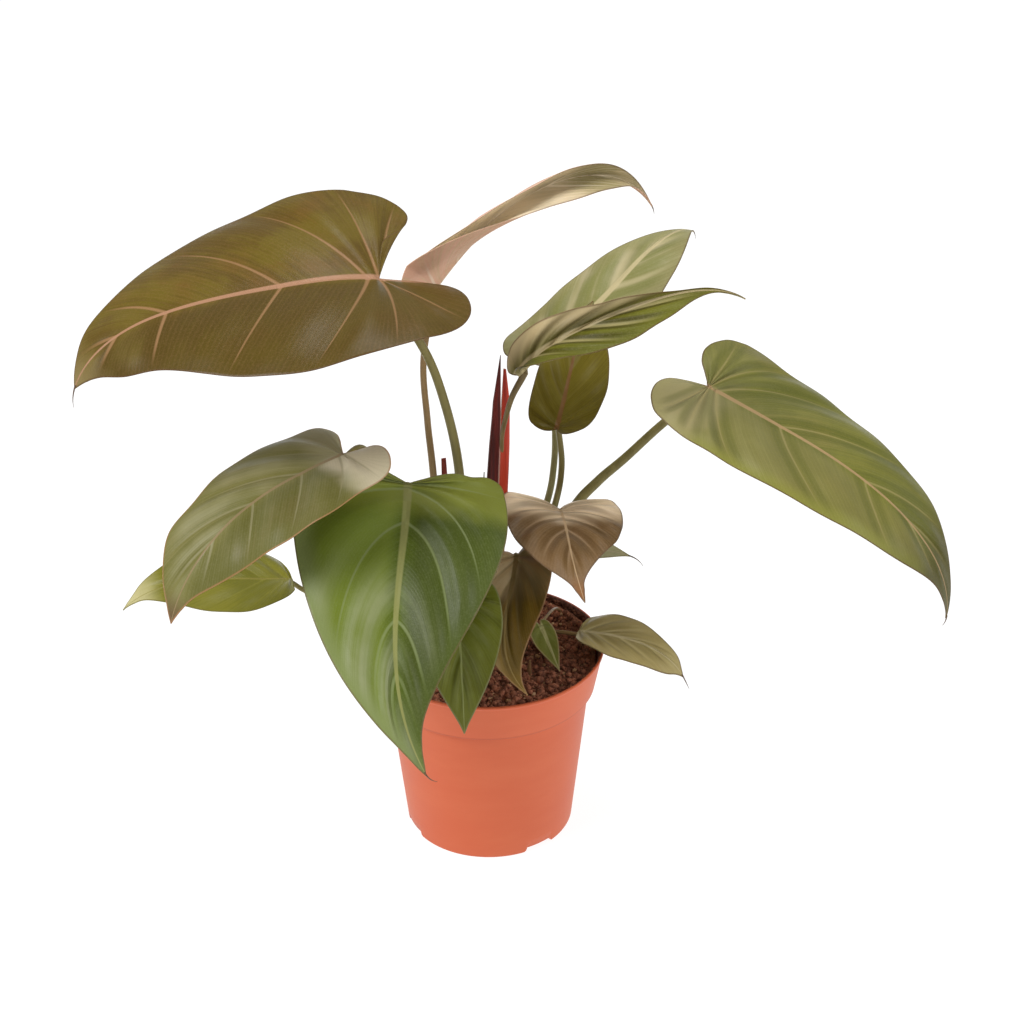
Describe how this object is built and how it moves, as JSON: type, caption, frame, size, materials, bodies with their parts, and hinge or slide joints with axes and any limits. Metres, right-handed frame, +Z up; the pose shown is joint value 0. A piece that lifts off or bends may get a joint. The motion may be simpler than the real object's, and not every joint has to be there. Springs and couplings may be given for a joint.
{
  "type": "potted foliage plant",
  "caption": "Philodendron with long-stalked, drooping, heart-shaped green and bronze leaves, growing from a round tapered nursery pot filled with peat.",
  "frame": {"origin": "centre of the pot's underside, in the plane of its feet", "axes": "+Z up along the pot, -Y to the front of the plant, +X to the right seen from the front"},
  "size_m": [0.4196, 0.3085, 0.3487],
  "materials": {
    "terracotta_plastic": "matt terracotta plastic, faintly satin",
    "peat": "dark red-brown potting peat with small tan crumbs",
    "crown_skin": "dry brown stalk bases",
    "sheath_maroon": "dark glossy maroon",
    "sheath_red": "bright red, satin",
    "sheath_scale": "brown-green, dry",
    "sheath_left": "dull red, satin",
    "sheath_dry": "dry, beige and papery",
    "leaf_upper_left": "olive-brown, satin, pinkish-tan midrib",
    "leaf_right": "olive green, satin, tan-pink midrib",
    "leaf_front": "deep green, glossy, cream-green midrib",
    "leaf_left": "grey-olive, satin, tan midrib",
    "leaf_top": "tan-olive, pink-brown underneath, satin",
    "leaf_back_right": "pale sage, satin, tan ribs",
    "leaf_folded": "yellow-green and taupe, glossy, cream ribs",
    "leaf_back": "dark olive-brown, satin, pink-brown midrib",
    "leaf_centre": "bronze taupe, satin, orange-brown margin",
    "leaf_low_front": "brown-olive, satin, tan margin",
    "leaf_far_left": "yellow-green, satin",
    "leaf_lower_front": "deep green, satin",
    "leaf_low_right": "grey-olive, satin",
    "leaf_behind": "pale sage, satin",
    "leaf_smallest": "green, satin, tan margin"
  },
  "bodies": {
    "root": {"pot": "terracotta_plastic", "soil": "peat", "crown_left": "crown_skin", "crown_right": "crown_skin", "sheath_maroon": "sheath_maroon", "sheath_red": "sheath_red", "sheath_scale": "sheath_scale", "sheath_left": "sheath_left", "sheath_dry": "sheath_dry", "leaf_upper_left": "leaf_upper_left", "leaf_right": "leaf_right", "leaf_front": "leaf_front", "leaf_left": "leaf_left", "leaf_top": "leaf_top", "leaf_back_right": "leaf_back_right", "leaf_folded": "leaf_folded", "leaf_back": "leaf_back", "leaf_centre": "leaf_centre", "leaf_low_front": "leaf_low_front", "leaf_far_left": "leaf_far_left", "leaf_lower_front": "leaf_lower_front", "leaf_low_right": "leaf_low_right", "leaf_behind": "leaf_behind", "leaf_smallest": "leaf_smallest"}
  },
  "joints": []
}
